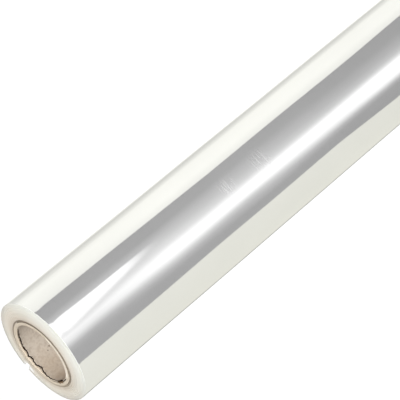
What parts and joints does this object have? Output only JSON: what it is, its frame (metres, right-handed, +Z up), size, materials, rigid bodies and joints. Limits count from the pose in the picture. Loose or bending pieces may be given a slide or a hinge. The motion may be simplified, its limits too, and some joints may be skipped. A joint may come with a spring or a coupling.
{
  "type": "roll of plastic film",
  "caption": "Roll of clear plastic wrapping film wound tight on an open paperboard core, standing on its end.",
  "frame": {"origin": "middle of the end on which the roll stands, level with the floor", "axes": "+Z up along the roll's axis, towards the end with the torn core; +X and +Y across it"},
  "size_m": [0.066, 0.066, 0.5014],
  "materials": {
    "clear_film": "glossy clear film, many turns together milky white",
    "paperboard": "matt spirally wound grey-brown paperboard"
  },
  "bodies": {
    "root": {"film_roll": "clear_film", "core_tube": "paperboard"}
  },
  "joints": []
}
